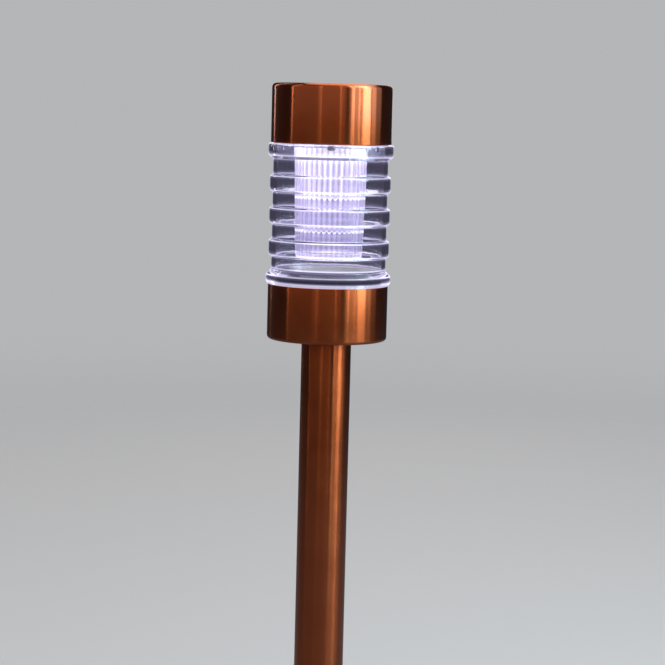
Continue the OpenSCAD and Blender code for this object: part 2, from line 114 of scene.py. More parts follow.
for side, width, power, colour in (
    (69, 0.46, 14.6, COOL), (86, 0.24, 2.4, COOL), (99, 0.36, 1.0, COOL), (46, 0.50, 3.6, COOL),
    (53, 0.022, 0.9, COOL), (40, 0.05, 1.4, COOL), (17, 0.02, 0.25, WHITE), (-21, 0.03, 0.14, WHITE),
    (-80, 0.03, 0.45, WHITE), (175, 0.5, 1.5, WHITE), (-140, 0.05, 0.85, WHITE),
):
    soft_box("soft_box", side, BOX_DISTANCE, BOX_HEIGHT, width, BOX_TALL, power, colour)
for name, side, power in (("front_box", 0, 2.7), ("left_box", -50, 2.1)):
    soft_box(name, side, FILL_DISTANCE, FILL_HEIGHT, FILL_WIDTH, FILL_TALL, power, WARM)

sun = bpy.data.lights.new("ceiling_light", "SUN")
sun.energy, sun.angle, sun.color = 1.6, math.radians(70), (0.80, 0.92, 1.0)
ceiling_light = bpy.data.objects.new("ceiling_light", sun)
ceiling_light.rotation_euler = (math.radians(-8), math.radians(10), 0)
bpy.context.scene.collection.objects.link(ceiling_light)


def feed(node, socket, value):
    """Links an output to a node's socket, or sets the socket to a number or colour. None leaves it alone."""
    if isinstance(value, bpy.types.NodeSocket):
        node.id_data.links.new(value, node.inputs[socket])
    elif value is not None:
        node.inputs[socket].default_value = value


def node_of(tree, kind, inputs, **settings):
    """New shader node of a kind: its settings are made first, and then its inputs are fed."""
    node = tree.nodes.new("ShaderNode" + kind)
    for setting, value in settings.items():
        setattr(node, setting, value)
    for socket, value in inputs.items():
        feed(node, socket, value)
    return node


def mixed(tree, factor, first, second):
    """Colour between first, at factor 0, and second, at factor 1."""
    node = node_of(tree, "Mix", {"Factor": factor, "A": first, "B": second}, data_type="RGBA")
    return node.outputs["Result"]


def ray_is(tree, kind):
    """1 on rays of one kind, "Camera" or "Shadow", and 0 on all others."""
    return tree.nodes.new("ShaderNodeLightPath").outputs[f"Is {kind} Ray"]


BACKDROP = (0.46, 0.465, 0.475, 1)
ROOM = (0.020, 0.020, 0.024, 1)       # what the light's own surfaces reflect beyond the soft boxes
world = bpy.data.worlds.new("studio")
world.use_nodes = True
sky = world.node_tree
feed(sky.nodes["Background"], "Color", mixed(sky, ray_is(sky, "Camera"), ROOM, BACKDROP))
bpy.context.scene.world = world


def grid_faces(rows, columns, close_rows=False):
    """Quads between neighbours of a rows x columns grid of points. Its last column is joined to its first."""
    row, column = np.meshgrid(np.arange(rows if close_rows else rows - 1), np.arange(columns), indexing="ij")
    next_row, next_column = (row + 1) % rows, (column + 1) % columns
    quads = (row * columns + column, row * columns + next_column,
             next_row * columns + next_column, next_row * columns + column)
    return np.stack(quads, -1).reshape(-1, 4)


def piece_from(name, shells, material, sharp=35):
    """One mesh object from shells of (points in mm, faces), each welded, turned outwards and smooth-shaded.

    A shell faces outwards when the sum of its triangles' signed volumes, a . (b x c) / 6, is positive.
    """
    mesh = bpy.data.meshes.new(name)
    whole = bmesh.new()
    for points, faces in shells:
        part = bpy.data.meshes.new("part")
        places = np.asarray(points, float).reshape(-1, 3) * MM
        part.from_pydata(places.tolist(), [], [list(face) for face in faces])
        shell = bmesh.new()
        shell.from_mesh(part)
        bmesh.ops.remove_doubles(shell, verts=shell.verts, dist=0.0005 * MM)
        if shell.calc_volume(signed=True) < 0:
            bmesh.ops.reverse_faces(shell, faces=shell.faces)
        shell.to_mesh(part)
        whole.from_mesh(part)
        shell.free()
        bpy.data.meshes.remove(part)
    whole.to_mesh(mesh)
    whole.free()
    mesh.shade_smooth()
    mesh.set_sharp_from_angle(angle=math.radians(sharp))
    mesh.materials.append(material)
    piece = bpy.data.objects.new(name, mesh)
    bpy.context.scene.collection.objects.link(piece)
    return piece


def material_nodes(name, base_colour, roughness, metallic=0.0):
    """A new material, its node tree and its Principled shader."""
    material = bpy.data.materials.new(name)
    material.use_nodes = True
    tree = material.node_tree
    shader = tree.nodes["Principled BSDF"]
    shader.inputs["Base Color"].default_value = (*base_colour, 1)
    shader.inputs["Roughness"].default_value = roughness
    shader.inputs["Metallic"].default_value = metallic
    return material, tree, shader


def object_place(tree):
    """Place on a piece, in metres in the frame of the whole object."""
    return tree.nodes.new("ShaderNodeTexCoord").outputs["Object"]


def length_of(tree, vector):
    """Length of a vector."""
    return node_of(tree, "VectorMath", {0: vector}, operation="LENGTH").outputs["Value"]


def ranged(tree, value, low, high, start=0.0, end=1.0, shape="LINEAR"):
    """Value carried from start..end to low..high, and held at those limits."""
    return node_of(tree, "MapRange", {
        "Value": value, "From Min": start, "From Max": end, "To Min": low, "To Max": high,
    }, interpolation_type=shape).outputs["Result"]


FLOOR_RADIUS = 2300
FLOOR_CLEAR = 250           # the floor is solid to here and fades into the backdrop beyond it
FLOOR_PALE, FLOOR_REFLECTED = (0.72, 0.62, 0.57, 1), (0.10, 0.10, 0.105, 1)
floor_ring = np.linspace(0, 2 * np.pi, 96, endpoint=False)
floor_reach = np.linspace(0, FLOOR_RADIUS, 7)[:, None]
floor_points = np.stack([
    floor_reach * np.cos(floor_ring), floor_reach * np.sin(floor_ring),
    np.full((floor_reach.size, floor_ring.size), cad_low[2] / MM),
], -1)
floor_paint, floor_tree, floor_shader = material_nodes("pale_floor", FLOOR_PALE[:3], 0.7)
floor_away = length_of(floor_tree, object_place(floor_tree))
feed(floor_shader, "Alpha", ranged(
    floor_tree, floor_away, 1.0, 0.0, FLOOR_CLEAR * MM, FLOOR_RADIUS * MM, "SMOOTHSTEP"))
feed(floor_shader, "Base Color", mixed(floor_tree, ray_is(floor_tree, "Camera"), FLOOR_REFLECTED, FLOOR_PALE))
floor = piece_from("floor", [(floor_points, grid_faces(floor_reach.size, floor_ring.size))], floor_paint)


# ---------- Ground spike ----------
# One black polypropylene moulding: four fins that taper to a point, a shoulder that the pole stands on, and
# a spigot that goes up into the pole. The fins are pushed into the soil.

TURN_STEPS = 160


def extent(node):
    """Lowest and highest corner of a CAD node, in millimetres."""
    low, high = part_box(node)
    return np.array(low) / MM, np.array(high) / MM


def rounded(corners, steps=6, closed=True):
    """Outline through corners (x, y, radius), where a radius makes the corner an arc tangent to its sides.

    The arc's centre lies on the corner's bisector at radius / sin(half the corner's angle), and its points
    are turned evenly from one tangent point to the other.
    """
    corners = np.asarray(corners, float)
    outline = []
    for i, (x, y, radius) in enumerate(corners):
        corner = np.array([x, y])
        if radius == 0 or (not closed and i in (0, len(corners) - 1)):
            outline.append(corner[None])
            continue
        before = corners[i - 1, :2] - corner
        after = corners[(i + 1) % len(corners), :2] - corner
        before, after = before / np.linalg.norm(before), after / np.linalg.norm(after)
        half = 0.5 * math.acos(np.clip(before @ after, -1, 1))
        centre = corner + (before + after) / np.linalg.norm(before + after) * radius / math.sin(half)
        first = (corner + before * radius / math.tan(half) - centre) / radius
        last = (corner + after * radius / math.tan(half) - centre) / radius
        sweep = math.pi - 2 * half
        part = np.linspace(0, 1, steps + 1)[:, None]
        outline.append(centre + radius * (np.sin((1 - part) * sweep) * first + np.sin(part * sweep) * last)
                       / math.sin(sweep))
    return np.concatenate(outline)


def turned(profile, steps=TURN_STEPS, closed=True):
    """Shell made by turning a profile of (radius, height) about the Z axis: x = r cos a, y = r sin a, z = h.

    A closed profile is a loop. An open one starts and ends on the axis, where its ring of points is welded.
    """
    profile = np.asarray(profile, float)
    angle = np.linspace(0, 2 * np.pi, steps, endpoint=False)
    radius, height = profile[:, :1], profile[:, 1:2]
    points = np.stack([radius * np.cos(angle), radius * np.sin(angle), height + 0 * angle], -1)
    return points, grid_faces(len(profile), steps, close_rows=closed)


def joined(piece, others, how, sharp=35):
    """Unites others with piece, for how "UNION", or cuts them out, for "DIFFERENCE", and removes them."""
    for other in others:
        step = piece.modifiers.new("join", "BOOLEAN")
        step.operation, step.object, step.solver = how, other, "EXACT"
        bpy.context.view_layer.objects.active = piece
        bpy.ops.object.modifier_apply(modifier=step.name)
        bpy.data.meshes.remove(other.data)
    piece.data.shade_smooth()
    piece.data.set_sharp_from_angle(angle=math.radians(sharp))
    return piece


def noise(tree, vector, scale, detail=2.0, roughness=0.5):
    """Noise texture of the given scale on a vector."""
    return node_of(tree, "TexNoise", {
        "Vector": vector, "Scale": scale, "Detail": detail, "Roughness": roughness,
    }).outputs["Fac"]


def uneven(tree, place, scale, detail, low, high, start=0.3, end=0.7):
    """Noise carried from start..end to low..high: a value that changes a little over a surface."""
    return ranged(tree, noise(tree, place, scale, detail), low, high, start, end)


def colours(tree, value, stops):
    """Colour ramp on a value; stops are (place, colour)."""
    node = node_of(tree, "ValToRGB", {"Fac": value})
    ramp = node.color_ramp
    while len(ramp.elements) < len(stops):
        ramp.elements.new(0.5)
    for element, (place, colour) in zip(ramp.elements, stops):
        element.position, element.color = place, (*colour, 1)
    return node.outputs["Color"]


def bump(tree, shader, height, depth, below=None):
    """Bump of height times depth, in metres, in the shader's normal, on top of the normal below if given."""
    node = node_of(tree, "Bump", {"Height": height, "Distance": depth, "Strength": 1.0, "Normal": below})
    feed(shader, "Normal", node.outputs["Normal"])
    return node.outputs["Normal"]


def new_group(name, inputs, outputs):
    """Empty shader node group with named float, vector or colour sockets."""
    group = bpy.data.node_groups.new(name, "ShaderNodeTree")
    for label, kind, value in inputs:
        socket = group.interface.new_socket(name=label, in_out="INPUT", socket_type=kind)
        if value is not None:
            socket.default_value = value
    for label, kind in outputs:
        group.interface.new_socket(name=label, in_out="OUTPUT", socket_type=kind)
    return group, group.nodes.new("NodeGroupInput"), group.nodes.new("NodeGroupOutput")


# Spark-eroded mould texture with broad cloudy patches: used by every moulded plastic.
mould_texture, texture_in, texture_out = new_group(
    "mould_texture",
    [("Place", "NodeSocketVector", None), ("Fineness", "NodeSocketFloat", 2500.0)],
    [("Height", "NodeSocketFloat"), ("Patches", "NodeSocketFloat")],
)
texture_place = texture_in.outputs["Place"]
feed(texture_out, "Height", noise(mould_texture, texture_place, texture_in.outputs["Fineness"], 3.0))
feed(texture_out, "Patches", noise(mould_texture, texture_place, 45.0))


def moulded(name, colour, roughness, depth=0.00002, fineness=2500.0, paler=1.5):
    """Moulded plastic: its colour lifts by the factor paler, and its gloss changes, from patch to patch."""
    material, tree, shader = material_nodes(name, colour, roughness)
    inputs = {"Place": object_place(tree), "Fineness": fineness}
    texture = node_of(tree, "Group", inputs, node_tree=mould_texture)
    patches = texture.outputs["Patches"]
    lifted = tuple(min(1.0, channel * paler) for channel in colour)
    feed(shader, "Base Color", colours(tree, patches, [(0.35, colour), (0.75, lifted)]))
    feed(shader, "Roughness", ranged(tree, patches, roughness - 0.07, roughness + 0.1, 0.3, 0.7))
    bump(tree, shader, texture.outputs["Height"], depth)
    return material


def stands_for(piece, node, body):
    """Makes a piece ride on a body in place of a CAD node, which is hidden."""
    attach(piece, body)
    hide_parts(node)


black_plastic = moulded("black_plastic", (0.018, 0.018, 0.020), 0.42)

spike_low, spike_high = extent("ground_spike")
SPIKE_SHOULDER = 2.0
SPIKE_FIN = 2.2
SPIGOT_WALL = 1.5
shoulder_radius, spigot_top = spike_high[0], spike_high[2]
spigot_radius = shoulder_radius - 0.55
spigot_bore = spigot_radius - SPIGOT_WALL

# A fin's outline is made of points w * reach + t * (out, side), for half-width w and thickness t.
arc = np.radians(np.linspace(0, 90, 5))
fin_reach = np.concatenate([0 * arc, 0 * arc + 1, 0 * arc + 1])
fin_out = np.concatenate([0.9 - 0.4 * np.cos(arc), -0.35 + 0.35 * np.sin(arc), -0.35 + 0.35 * np.cos(arc)])
fin_side = np.concatenate([-0.9 + 0.4 * np.sin(arc), -0.15 - 0.35 * np.cos(arc), 0.15 + 0.35 * np.sin(arc)])
fin_tip, fin_top = spike_low[2], spigot_top - 3
fin_z, fin_half = np.array([        # (height, half-width) from the tip up
    (fin_tip, 0), (fin_tip + 0.1, 0.35), (fin_tip + 0.6, 0.75), (fin_tip + 2, 1.25), (-34, 8.35), (-31, 8.75),
    (-25, 9.5), (-22, 9.75), (-1.6, 9.75), (-1.5, 9.4), (fin_top, 9.4), (fin_top, 0),
]).T
fin_thick = np.minimum(SPIKE_FIN, 0.6 * fin_half)
x = fin_half[:, None] * fin_reach + fin_thick[:, None] * fin_out
y = fin_thick[:, None] * fin_side
quarter = [(x, y), (-y, x), (-x, -y), (y, -x)]
fin_x, fin_y = (np.concatenate([q[k] for q in quarter], 1) for k in (0, 1))
fins = piece_from("ground_spike_body", [(
    np.stack([fin_x, fin_y, np.broadcast_to(fin_z[:, None], fin_x.shape)], -1),
    grid_faces(len(fin_z), fin_x.shape[1]),
)], black_plastic)
spigot = piece_from("spigot", [turned(rounded([
    (0, -SPIKE_SHOULDER, 0), (shoulder_radius, -SPIKE_SHOULDER, 0.5), (shoulder_radius, 0, 0.25),
    (spigot_radius, 0, 0.2), (spigot_radius, spigot_top - 1.6, 0.8), (spigot_radius - 0.7, spigot_top, 0.3),
    (spigot_bore, spigot_top, 0.3), (spigot_bore, 0.2, 0.3), (0, 0.2, 0),
], closed=False), closed=False)], black_plastic)
stands_for(joined(fins, [spigot], "UNION"), "ground_spike", "stake")


# ---------- Pole ----------
# Thin steel tube with a copper-coloured coat, brushed round and lacquered. Its top end is necked in to go up
# into the collar, and both cut ends are deburred.

TUBE_WALL = 0.5
RIPPLE_RISE = 5.0       # changes of a ripple in a metre of height, so few that it runs nearly straight

# Grain that runs round a turned or drawn shell, with slow ripples that run along it.
# Its height coordinate is z - r, which changes both up a wall and across a flat top.
lathe_grain, grain_in, grain_out = new_group(
    "lathe_grain",
    [("Place", "NodeSocketVector", None), ("Lines", "NodeSocketFloat", 1400.0),
     ("Length", "NodeSocketFloat", 26.0), ("Ripples", "NodeSocketFloat", 5.0)],
    [("Grain", "NodeSocketFloat"), ("Ripple", "NodeSocketFloat"), ("Cloud", "NodeSocketFloat")],
)


def maths(tree, operation, first, *others):
    """An operation on sockets or numbers, taken two at a time from the left, or on a single one."""
    if not others:
        return node_of(tree, "Math", {0: first}, operation=operation).outputs["Value"]
    for other in others:
        first = node_of(tree, "Math", {0: first, 1: other}, operation=operation).outputs["Value"]
    return first


def combined(tree, x, y, z):
    """Vector of three sockets or numbers."""
    return node_of(tree, "CombineXYZ", {0: x, 1: y, 2: z}).outputs["Vector"]


def parts_of(tree, vector):
    """The X, Y and Z of a vector."""
    node = node_of(tree, "SeparateXYZ", {"Vector": vector})
    return [node.outputs[axis] for axis in "XYZ"]


def stretched(tree, x, y, z, around, along):
    """Vector of a place with its X and Y times around and its Z times along."""
    x, y, z = (maths(tree, "MULTIPLY", part, times) for part, times in ((x, around), (y, around), (z, along)))
    return combined(tree, x, y, z)


grain_x, grain_y, grain_z = parts_of(lathe_grain, grain_in.outputs["Place"])
grain_radius = length_of(lathe_grain, combined(lathe_grain, grain_x, grain_y, 0.0))
grain_height = maths(lathe_grain, "SUBTRACT", grain_z, grain_radius)
grain_lines = stretched(lathe_grain, grain_x, grain_y, grain_height,
                        grain_in.outputs["Length"], grain_in.outputs["Lines"])
grain_bearing = maths(lathe_grain, "DIVIDE", grain_in.outputs["Ripples"], grain_radius)
grain_waves = stretched(lathe_grain, grain_x, grain_y, grain_height, grain_bearing, RIPPLE_RISE)
feed(grain_out, "Grain", noise(lathe_grain, grain_lines, 1.0, 4.0, 0.65))
feed(grain_out, "Ripple", noise(lathe_grain, grain_waves, 1.0, 2.5, 0.55))
feed(grain_out, "Cloud", noise(lathe_grain, grain_in.outputs["Place"], 60.0, 3.0))

COPPER = (0.80, 0.175, 0.050)
copper, copper_tree, copper_shader = material_nodes("brushed_copper", COPPER, 0.28, 1.0)
copper_place = {"Place": object_place(copper_tree)}
copper_grain = node_of(copper_tree, "Group", copper_place, node_tree=lathe_grain).outputs
feed(copper_shader, "Base Color", colours(copper_tree, maths(
    copper_tree, "ADD", ranged(copper_tree, copper_grain["Grain"], 0.0, 0.12, 0.25, 0.75),
    ranged(copper_tree, copper_grain["Cloud"], 0.0, 0.55, 0.3, 0.7),
), [(0.1, (0.74, 0.150, 0.042)), (0.5, COPPER), (0.9, (0.85, 0.205, 0.065))]))
feed(copper_shader, "Roughness", maths(
    copper_tree, "ADD", ranged(copper_tree, copper_grain["Grain"], 0.215, 0.230, 0.3, 0.7),
    ranged(copper_tree, copper_grain["Cloud"], -0.01, 0.03, 0.35, 0.75)))
copper_shader.inputs["Anisotropic"].default_value = 0.97
copper_shader.inputs["Anisotropic Rotation"].default_value = 0.25
copper_shader.inputs["Coat Weight"].default_value = 0.5
copper_shader.inputs["Coat Roughness"].default_value = 0.14
feed(copper_shader, "Tangent", node_of(
    copper_tree, "Tangent", {}, direction_type="RADIAL", axis="Z").outputs["Tangent"])
copper_waves = bump(copper_tree, copper_shader, copper_grain["Ripple"], 0.00011)
bump(copper_tree, copper_shader, copper_grain["Grain"], 0.0000002, below=copper_waves)

NECK_IN = 0.2
NECK_LENGTH = 18.7
pole_radius, _, pole_top = extent("pole")[1]
neck_radius, neck_z = pole_radius - NECK_IN, pole_top - NECK_LENGTH
pole = piece_from("pole_tube", [turned(rounded([
    (pole_radius - TUBE_WALL, 0, 0.12), (pole_radius, 0, 0.2),
    (pole_radius, neck_z - NECK_IN, 0.3), (neck_radius, neck_z, 0.3),
    (neck_radius, pole_top, 0.18), (neck_radius - TUBE_WALL, pole_top, 0.18),
    (neck_radius - TUBE_WALL, neck_z, 0.3), (pole_radius - TUBE_WALL, neck_z - NECK_IN, 0.3),
], steps=4))], copper)
stands_for(pole, "pole", "pole")


# ---------- Collar ----------
# Drawn copper-coloured cup under the lens: a straight wall, a small bend at its lower edge and a floor with
# a hole for the pole.

collar_low, collar_high = extent("collar_shell")
SHELL_WALL = 0.5
COLLAR_BEND = 1.5
COLLAR_HOLE = 11.1
shell_radius = collar_high[0]
collar = piece_from("collar_cup", [turned(rounded([
    (COLLAR_HOLE, collar_low[2], 0.2), (shell_radius, collar_low[2], COLLAR_BEND),
    (shell_radius, collar_high[2], 0.22), (shell_radius - SHELL_WALL, collar_high[2], 0.22),
    (shell_radius - SHELL_WALL, collar_low[2] + SHELL_WALL, COLLAR_BEND - SHELL_WALL),
    (COLLAR_HOLE, collar_low[2] + SHELL_WALL, 0.2),
], steps=8), 192)], copper)
stands_for(collar, "collar_shell", "head")


# ---------- Collar core ----------
# Black glossy moulding pressed into the collar. Its plug centres the lens and closes it below; a ribbed
# socket takes the pole from underneath.


def finished(node, name, material, body, rounding=0.15, segments=2):
    """Merged copy of a CAD node, with flat faces made whole and sharp edges rounded, as the piece for it."""
    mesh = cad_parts[node].data.copy()
    mesh.name = name
    merged = bmesh.new()
    merged.from_mesh(mesh)
    bmesh.ops.remove_doubles(merged, verts=merged.verts, dist=0.002 * MM)
    bmesh.ops.dissolve_limit(merged, angle_limit=math.radians(0.6), verts=merged.verts, edges=merged.edges)
    merged.to_mesh(mesh)
    merged.free()
    mesh.shade_smooth()
    mesh.set_sharp_from_angle(angle=math.radians(30))
    mesh.materials.clear()
    mesh.materials.append(material)
    piece = bpy.data.objects.new(name, mesh)
    bpy.context.scene.collection.objects.link(piece)
    if rounding:
        edges = piece.modifiers.new("rounded_edges", "BEVEL")
        edges.width, edges.segments = rounding * MM, segments
        edges.limit_method, edges.angle_limit = "ANGLE", math.radians(35)
        edges.harden_normals = True
    stands_for(piece, node, body)
    return piece


dark_plastic = moulded("dark_plastic", (0.010, 0.010, 0.012), 0.14, depth=0.000003, fineness=900.0)
dark_plastic.node_tree.nodes["Principled BSDF"].inputs["Specular IOR Level"].default_value = 0.2
finished("collar_core", "collar_plug_and_socket", dark_plastic, "head", 0.25)


# ---------- Lens ----------
# Clear moulded styrene, polished: a thick flange at each end and three raised rings between. Bayonet
# channels are sunk into the wall of its mouth. The LED's light, which runs along inside the wall, is painted
# as a glow in the lens's emission: at its corners, and on its rim where it is seen edge-on.

lens_low, lens_high = extent("lens")
lens_height = lens_high[2] - lens_low[2]
FLANGE_RADIUS = lens_high[0]
NECK_RADIUS = 25.3
RING_RADIUS = 26.6
RING_FOOT, RING_CREST = 3.9, 3.2      # half of a ring's height, at its foot and at its crest
FIRST_RING, RING_PITCH, RINGS = 16.0, 14.1, 3
LENS_BORE, MOUTH_RADIUS, LEDGE_HEIGHT = 23.7, 24.2, 54.8
PLUG_HEIGHT = extent("collar_core")[1][2] - lens_low[2]
CHANNEL_RADIUS, CHANNEL_LOW, CHANNEL_HIGH = 25.25, 58.7, 60.8
LUGS, FIRST_LUG, LUG_ANGLE, ENTRY_ANGLE, LOCK_TURN = 4, 223.0, 12.0, 16.0, 20.0
lug_middles = FIRST_LUG + np.arange(LUGS) * 360 / LUGS


def angles_with(edges, every, beside=0.08):
    """Angles round a circle in degrees, one every few degrees and two close on either side of each edge."""
    angles = np.concatenate([np.arange(0, 360, every), (edges - beside) % 360, (edges + beside) % 360])
    return np.unique(np.round(angles, 3))


def from_middles(angles):
    """Signed angle of each of the angles from the middle of each bayonet lug, in degrees."""
    return (angles[:, None] - lug_middles + 180) % 360 - 180


def with_margins(line, margin=1.0):
    """Outline with points added a margin in from its long sides' ends, to hold the painted glow tight at its
    corners.
    """
    parts = [line[:1]]
    for start, end in zip(line[:-1], line[1:]):
        step = (end - start) / np.linalg.norm(end - start) * margin
        long_side = np.linalg.norm(end - start) > 2.5 * margin
        parts.append(np.stack([start + step, end - step, end] if long_side else [end]))
    return np.concatenate(parts)


outer_corners = [(FLANGE_RADIUS - 0.5, 0, 0.3), (FLANGE_RADIUS, 1.0, 0.8), (FLANGE_RADIUS, 4.2, 1.0),
                 (NECK_RADIUS, 6.1, 0.7)]
for ring in range(RINGS):
    middle = FIRST_RING + ring * RING_PITCH
    outer_corners += [(NECK_RADIUS, middle - RING_FOOT, 0.4), (RING_RADIUS, middle - RING_CREST, 0.8),
                      (RING_RADIUS, middle + RING_CREST, 0.8), (NECK_RADIUS, middle + RING_FOOT, 0.4)]
outer_corners += [(NECK_RADIUS, lens_height - 6.8, 0.7), (FLANGE_RADIUS, lens_height - 5.2, 0.8),
                  (FLANGE_RADIUS, lens_height, 0.45)]
outer_line = with_margins(
    rounded([(LENS_BORE, 0, 0), *outer_corners, (MOUTH_RADIUS, lens_height, 0)], steps=6, closed=False)[1:-1])
inner_line = with_margins(rounded([
    (MOUTH_RADIUS, LEDGE_HEIGHT + 1, 0), (MOUTH_RADIUS, LEDGE_HEIGHT, 0.1), (LENS_BORE, LEDGE_HEIGHT, 0.25),
    *((LENS_BORE, PLUG_HEIGHT + rise, 0) for rise in (1.0, 0.5, 0.0)),
    (LENS_BORE, 0, 0.3), (FLANGE_RADIUS - 0.5, 0, 0),
], steps=4, closed=False)[1:-1])
# Each point of the mouth's wall is pushed outwards by an entry slot, or by a channel, or by neither.
channel_z = np.array([lens_height, CHANNEL_HIGH, CHANNEL_HIGH, CHANNEL_LOW, CHANNEL_LOW])
channel_entry = np.array([1, 1, 1, 1, 0])
channel_run = np.array([0, 0, 1, 1, 0])
run_start, run_end = -ENTRY_ANGLE / 2 - LOCK_TURN, ENTRY_ANGLE / 2
channel_edges = np.concatenate([lug_middles + edge for edge in (run_start, -ENTRY_ANGLE / 2, run_end)])
lens_angles = angles_with(channel_edges, 1.5)
off_lug = from_middles(lens_angles)
in_entry = (np.abs(off_lug) < ENTRY_ANGLE / 2).any(1)
in_run = ((off_lug > run_start) & (off_lug < run_end)).any(1)
channel_depth = np.maximum(channel_entry[:, None] * in_entry, channel_run[:, None] * in_run)
channel_r = MOUTH_RADIUS + (CHANNEL_RADIUS - MOUTH_RADIUS) * channel_depth
lens_r = np.concatenate([np.repeat(outer_line[:, :1], len(lens_angles), 1), channel_r,
                         np.repeat(inner_line[:, :1], len(lens_angles), 1)])
lens_h = np.concatenate([outer_line[:, 1], channel_z, inner_line[:, 1]]) + lens_low[2]
turn = np.radians(lens_angles)


def clear_nodes(name, colour, roughness, refraction, through=1.0, glow_strength=0.0):
    """Material, tree and shader of a clear plastic that passes light through and may glow by emission: the
    LED's own light, and painted glow on the lens and cup.
    """
    material, tree, shader = material_nodes(name, colour, roughness)
    shader.inputs["Transmission Weight"].default_value = through
    shader.inputs["IOR"].default_value = refraction
    shader.inputs["Emission Strength"].default_value = glow_strength
    return material, tree, shader


def facing(tree):
    """0 where a surface faces the viewer, and 1 where it is seen edge-on."""
    return node_of(tree, "LayerWeight", {"Blend": 0.5}).outputs["Facing"]


STYRENE = 1.57      # its refraction
lens_clear, lens_tree, lens_shader = clear_nodes("clear_styrene", (0.96, 0.96, 1.0), 0.03, STYRENE, glow_strength=1.0)
lens_place = object_place(lens_tree)
feed(lens_shader, "Roughness", uneven(lens_tree, lens_place, 120.0, 3.0, 0.01, 0.06, end=0.75))
bump(lens_tree, lens_shader, noise(lens_tree, lens_place, 330.0, 1.0), 0.00002)
# Painted glow in the emission: bright at the rings' corners and the bore, and a painted rim glow where the
# lens is seen edge-on.
lens_painted_glow = node_of(lens_tree, "Attribute", {}, attribute_name="painted_corner_glow").outputs["Fac"]
lens_painted_rim_glow = maths(lens_tree, "MULTIPLY", ranged(lens_tree, facing(lens_tree), 0.0, 0.8, 0.80, 0.98),
                     ray_is(lens_tree, "Camera"))
feed(lens_shader, "Emission Color", colours(lens_tree, maths(lens_tree, "ADD", lens_painted_glow, lens_painted_rim_glow), [
    (0.0, (0.010, 0.009, 0.016)), (0.35, (0.075, 0.068, 0.12)), (1.0, (0.66, 0.63, 0.84)),
]))
lens = piece_from("lens_body", [(
    np.stack([lens_r * np.cos(turn), lens_r * np.sin(turn), lens_h[:, None] + 0 * turn], -1),
    grid_faces(len(lens_h), len(turn), close_rows=True),
)], lens_clear)


def painted_corner_glow(piece, corners, spread, strengths):
    """Attribute of painted glow, strongest at circles (radius, height): the largest of s exp(-(away /
    spread)^2).
    """
    place = np.empty(3 * len(piece.data.vertices))
    piece.data.vertices.foreach_get("co", place)
    x, y, z = place.reshape(-1, 3).T / MM
    away = np.hypot(np.hypot(x, y)[:, None] - corners[:, 0], z[:, None] - corners[:, 1])
    light = (strengths * np.exp(-(away / spread) ** 2)).max(1)
    attribute = piece.data.attributes.new("painted_corner_glow", "FLOAT", "POINT")
    attribute.data.foreach_set("value", light.astype(np.float32))


# Circles where the lens's painted glow is strongest: the outline's corners, and one on the bore just above
# the plug.
painted_glow_corners = np.array([(radius, height + lens_low[2]) for radius, height, _ in
                        (*outer_corners, (LENS_BORE, PLUG_HEIGHT + 0.5, 0))])
on_crest, on_bore = painted_glow_corners[:, 0] > NECK_RADIUS + 0.5, painted_glow_corners[:, 0] < NECK_RADIUS - 0.5
painted_corner_glow(lens, painted_glow_corners, 0.46, np.select([on_crest, on_bore], [0.95, 1.0], 0.45))
stands_for(lens, "lens", "head")


# ---------- Fluted cup ----------
# Clear moulding under the cap: a closed cup with upright flutes, a flange that is screwed to the cap and a
# skirt with the bayonet lugs. The LED's light, broken up by the flutes, is painted as a glow in its emission:
# white at the top, pale violet below.

cup_low, cup_high = extent("diffuser")
FLUTES, FLUTE_DEPTH, FLUTE_STEPS = 40, 0.45, 8
CUP_TOP_RADIUS, CUP_END_RADIUS = 16.1, 14.8
CUP_WALL, CUP_FLOOR, CUP_FLANGE = 1.3, 1.5, 1.25
SKIRT_BORE, SKIRT_HEIGHT = 22.4, 4.1
LUG_RADIUS, LUG_HEIGHT = 24.9, 1.5
SCREW_RING, SCREW_HOLE, SCREW_ANGLES = 18.9, 1.15, (30, 150, 270)
LEVER_SLOT, SWITCH_Y = (4.4, 2.0), 19.3
skirt_radius = cup_high[0]
cup_flange_z = cup_high[2] - CUP_FLANGE
skirt_z = cup_flange_z - SKIRT_HEIGHT

cup_clear, cup_tree, cup_shader = clear_nodes("fluted_styrene", (0.82, 0.81, 0.88), 0.12, STYRENE, 0.88, 1.0)
cup_x, cup_y, cup_z = parts_of(cup_tree, object_place(cup_tree))
cup_bearing = maths(cup_tree, "ARCTAN2", cup_y, cup_x)
cup_radius = length_of(cup_tree, combined(cup_tree, cup_x, cup_y, 0.0))
# Painted glow: a flute's own crest is painted bright, and some flutes brighter than others.
flute_wave = maths(cup_tree, "COSINE", maths(cup_tree, "MULTIPLY", cup_bearing, float(FLUTES)))
painted_flute_crest = ranged(cup_tree, flute_wave, 0.30, 1.0, -0.8, 1.0)
flute_noise = noise(cup_tree, stretched(cup_tree, cup_x, cup_y, cup_z, 420.0, 24.0), 1.0, 2.0, 0.6)
flute_luck = ranged(cup_tree, flute_noise, 0.65, 1.25, 0.36, 0.68)
cup_rise = ranged(cup_tree, cup_z, 0.34, 0.85, (cup_low[2] + 10) * MM, cup_high[2] * MM)
painted_cup_glow = maths(cup_tree, "MULTIPLY", painted_flute_crest, flute_luck, cup_rise)
